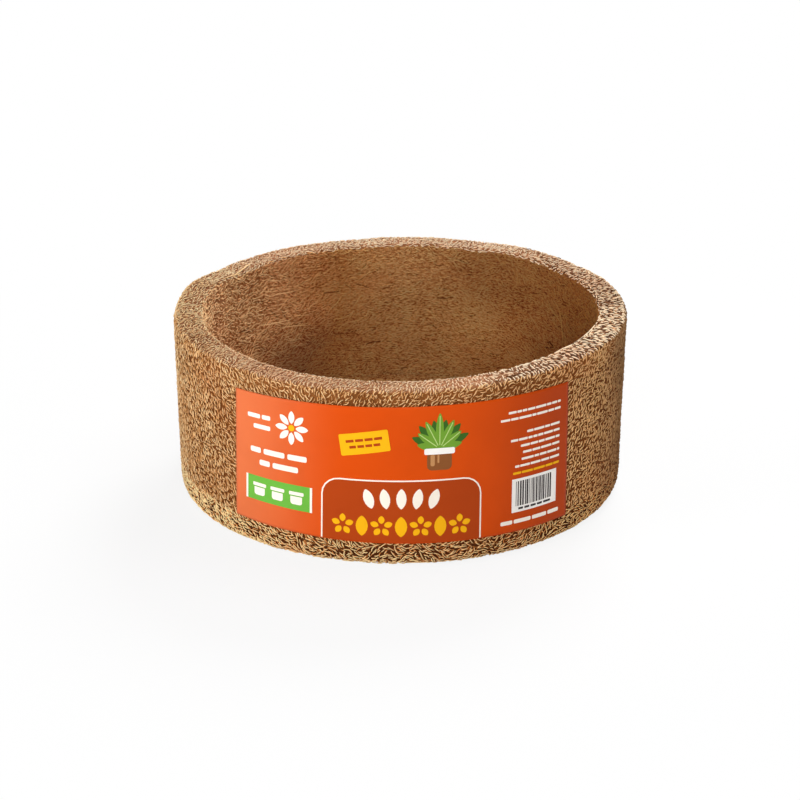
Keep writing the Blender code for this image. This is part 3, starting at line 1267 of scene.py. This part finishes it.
# Arched panel low in the middle, edged with a fine cream line
panel = {"x": -0.5, "foot": 0.5, "wide": 83.0, "tall": 34.5, "rounding": 9.0, "edge": 0.8}
for name, inkName, edge, level in (("panelEdge", "cream", panel["edge"], 0),
                                   ("panel", "maroon", 0.0, 1)):
    shape = bmesh.new()
    tall = panel["tall"] + edge
    place = (panel["x"], panel["foot"] + tall / 2, panel["wide"] + 2 * edge, tall)
    drawBar(shape, *place, 0, panel["rounding"] + edge, (2, 3))
    wrapPrint(name, shape, inkName, level)

# Green box with three little pots, at the lower left
greenBox = {"x": -68.5, "y": 20.5, "wide": 40.0, "tall": 14.5}
shape = bmesh.new()
drawBar(shape, **greenBox)
wrapPrint("greenBox", shape, "green", 0)

# Cream print: the box's end bars and pots, a flower, leaves on the panel, and set rows
shape = bmesh.new()
for side in (-1, 1):
    x = greenBox["x"] + side * greenBox["wide"] / 2
    drawBar(shape, x, greenBox["y"], 1.3, greenBox["tall"])
for step in (-1, 0, 1):
    x = greenBox["x"] + 11.5 * step
    drawBar(shape, x, greenBox["y"] + 2.4, 8.6, 2.0, rounding=0.5)
    drawBar(shape, x, greenBox["y"] - 1.6, 6.8, 4.6, rounding=1.4, corners=(0, 1))
drawFlower(shape, -60.0, 60.5, 19.0, 8)
drawRow(shape, -88.0, -73.0, 63.5, 2.6, 1.2)
drawRow(shape, -84.0, -73.0, 57.5, 2.6, 1.2)
drawRow(shape, -86.0, -51.0, 43.5, 3.2, 1.8)
drawRow(shape, -80.0, -56.0, 36.5, 3.2, 1.8)
for index in range(5):
    drawLeaf(shape, panel["x"] + 7.6 * (index - 2), 19.6, 11.5, 5.4, 90 - 9 * (index - 2))
small = (smallPrint["tall"], smallPrint["gap"])
for y in (67.5, 63.8):
    drawRow(shape, 91.0 - printer.uniform(34, 39), 91.0, y, *small)
for index in range(smallPrint["rows"]):
    y = smallPrint["top"] - 3.0 - smallPrint["pitch"] * index
    drawRow(shape, 90.5 - printer.uniform(20, 39), 90.5, y, *small)
drawRow(shape, 53.0, 90.5, 5.8, 2.2, 0.9)
wrapPrint("creamPrint", shape, "cream", 2)

# Yellow print: flowers and leaves on the panel, a tag and one set row
tag = {"x": -20.0, "y": 56.5, "wide": 26.0, "tall": 12.0, "turn": 9.0}
shape = bmesh.new()
for index in range(7):
    x = panel["x"] - 30.6 + 10.2 * index
    if index % 2:
        drawLeaf(shape, x, 3.8, 11.5, 6.4, 90)
    else:
        drawFlower(shape, x, 9.6, 11.8, 5, 90)
drawBar(shape, **tag, rounding=0.8)
drawRow(shape, 60.0, 90.5, 33.2, *small)
drawDisc(shape, -60.0, 60.5, 3.6)
wrapPrint("yellowPrint", shape, "yellow", 2)

# Plant in a pot, at the upper right of the middle
plant = {"x": 19.0, "foot": 41.0}
plantTop = plant["foot"] + 12.0
shape = bmesh.new()
drawBar(shape, plant["x"], plant["foot"] + 5.0, 13.0, 10.0, rounding=2.6, corners=(0, 1))
wrapPrint("plantPot", shape, "brown", 0)
shape = bmesh.new()
drawBar(shape, plant["x"] - 3.6, plant["foot"] + 5.6, 2.2, 6.4, rounding=0.9)
drawBar(shape, plant["x"] - 0.6, plant["foot"] + 6.4, 1.0, 4.6, rounding=0.4)
wrapPrint("plantPotLight", shape, "tan", 1)
shape = bmesh.new()
drawBar(shape, plant["x"], plant["foot"] + 10.6, 16.0, 3.4, rounding=0.9)
wrapPrint("plantPotRim", shape, "white", 3)
shape = bmesh.new()
for index, turn in enumerate((78, 25, 102, 50, 155, 130)):
    drawLeaf(shape, plant["x"], plantTop, 16 + index % 2, 5.0, turn, 0.006 * index)
wrapPrint("plantBackLeaves", shape, "darkLeaf", 0)
shape = bmesh.new()
for turn, long in ((90, 19.5), (64, 17), (116, 17), (38, 14.5), (142, 14.5), (12, 12), (168, 12)):
    drawLeaf(shape, plant["x"], plantTop, long, 4.2, turn, 0.05 - 0.002 * long)
wrapPrint("plantLeaves", shape, "leaf", 1)
shape = bmesh.new()
for turn, long in ((90, 16), (64, 13.5), (116, 13.5), (38, 11.5), (142, 11.5)):
    way = radians(turn)
    middle = 2.0 + long / 2
    x = plant["x"] + middle * cos(way)
    drawBar(shape, x, plantTop + middle * sin(way), long, 0.45, turn)
wrapPrint("plantRibs", shape, "paleLeaf", 2)

# Bar code, with bars of no meaning
code = {"x": 74.0, "y": 20.5, "wide": 29.0, "tall": 19.0, "margin": 2.4}
shape = bmesh.new()
drawBar(shape, code["x"], code["y"], code["wide"], code["tall"])
wrapPrint("codeGround", shape, "white", 2)
shape = bmesh.new()
x = code["x"] - code["wide"] / 2 + code["margin"]
while x < code["x"] + code["wide"] / 2 - code["margin"] - 1.0:
    wide = printer.choice((0.35, 0.35, 0.7, 1.0))
    drawBar(shape, x + wide / 2, code["y"] + 1.0, wide, code["tall"] - 5.0)
    x += wide + printer.choice((0.35, 0.5, 0.7))
drawRow(shape, code["x"] - 10.5, code["x"] + 10.5, code["y"] - 7.6, 1.2, 0.8)
wrapPrint("codeBars", shape, "grey", 3)

# Marks on the tag
shape = bmesh.new()
aside = radians(tag["turn"])
for up, wide in ((1.7, 20.0), (-1.7, 17.0)):
    x = tag["x"] - up * sin(aside)
    y = tag["y"] + up * cos(aside)
    words = 4
    for index in range(words):
        along = (index - (words - 1) / 2) * wide / words
        place = (x + along * cos(aside), y + along * sin(aside))
        drawBar(shape, *place, wide / words - 0.8, 1.5, tag["turn"])
wrapPrint("tagMarks", shape, "maroon", 3)
print("label printed")

# Studio: floor, world, lamps and camera
studio = {
    "floorSize": 6.0,
    "floorTone": 0.8,
    "floorGlow": (0.86, 1.0),  # share of plain white near the pot, and farther away
    "glowReach": (0.16, 0.42),
    "worldLevel": 0.03,
}


# 1 for rays that see the backdrop itself, also in a reflection
def seenRays(tree):
    rays = tree.nodes.new("ShaderNodeLightPath")
    glossy = sums(rays.outputs["Is Camera Ray"], rays.outputs["Is Glossy Ray"], "MAXIMUM")
    return sums(glossy, rays.outputs["Is Transmission Ray"], "MAXIMUM")


# The first shader for light, and the second for those rays
def mixShaders(tree, share, first, second, output):
    inputs = {0: share, 1: first.outputs[0], 2: second.outputs[0]}
    mix = addNode(tree, "ShaderNodeMixShader", inputs)
    feed(tree, tree.nodes[output].inputs, {"Surface": mix.outputs[0]})


plainWhite = {"Color": (1, 1, 1, 1), "Strength": 1.0}


def makeFloor():
    shape = bmesh.new()
    bmesh.ops.create_grid(shape, x_segments=1, y_segments=1, size=studio["floorSize"] / 2)
    bmesh.ops.translate(shape, verts=shape.verts, vec=(0, 0, -0.2 * mm))
    mesh = meshFrom("studioFloor", shape)
    material, tree, shader = newMaterial("studioFloor")
    tone = (studio["floorTone"],) * 3 + (1.0,)
    matt = {"Base Color": tone, "Roughness": 1.0, "Specular IOR Level": 0.0}
    feed(tree, shader.inputs, matt)
    glow = addNode(tree, "ShaderNodeEmission", plainWhite)
    away = addNode(tree, "ShaderNodeVectorMath", {0: objectPlace(tree)}, operation="LENGTH")
    white = spread(away.outputs["Value"], *studio["glowReach"], *studio["floorGlow"])
    share = sums(seenRays(tree), white, "MULTIPLY")
    mixShaders(tree, share, shader, glow, "Material Output")
    mesh.materials.append(material)
    floor = addObject("studioFloor", mesh)


def makeWorld():
    world = bpy.data.worlds.new("studio")
    world.use_nodes = True
    bpy.context.scene.world = world
    tree = world.node_tree
    ambient = tree.nodes["Background"]
    feed(tree, ambient.inputs, {**plainWhite, "Strength": studio["worldLevel"]})
    white = addNode(tree, "ShaderNodeBackground", plainWhite)
    mixShaders(tree, seenRays(tree), ambient, white, "World Output")


lamps = [
    {"name": "keyLamp", "from": (-60, 12), "away": 1.7, "size": 0.8, "power": 17.0},
    {"name": "frontLamp", "from": (0, 30), "away": 1.7, "size": 0.8, "power": 13.0},
    {"name": "topLamp", "from": (105, 66), "away": 1.7, "size": 1.0, "power": 10.5},
    {"name": "backLamp", "from": (160, 40), "away": 1.7, "size": 0.8, "power": 28.0},
]


def makeLamps():
    target = Vector((0, 0, pot["height"] / 2))
    for plan in lamps:
        data = bpy.data.lights.new(plan["name"], "AREA")
        data.shape = "DISK"
        data.size = plan["size"]
        data.energy = plan["power"]
        lamp = addObject(plan["name"], data)
        azimuth, height = (radians(part) for part in plan["from"])
        level = cos(height)
        place = Vector((sin(azimuth) * level, -cos(azimuth) * level, sin(height)))
        place = target + place * plan["away"]
        lamp.matrix_world = Matrix.Translation(place) @ (
            (target - place).to_track_quat("-Z", "Y").to_matrix().to_4x4()
        )


view = {
    "lens": 108.0,
    "place": (-0.0002, -1.2482, 0.5495),
    "pitch": 0.3847,  # below the horizon, in radians
    "roll": -0.0043,
}


def makeCamera():
    data = bpy.data.cameras.new("viewCamera")
    data.lens = view["lens"]
    data.sensor_width = 36.0
    data.clip_start = 0.05
    data.clip_end = 20.0
    camera = addObject("viewCamera", data)
    camera.matrix_world = (
        Matrix.Translation(view["place"])
        @ Matrix.Rotation(pi / 2 - view["pitch"], 4, "X")
        @ Matrix.Rotation(view["roll"], 4, "Z")
    )
    bpy.context.scene.camera = camera


makeFloor()
makeWorld()
makeLamps()
makeCamera()
bpy.context.scene.view_settings.view_transform = "Standard"
print("studio made")
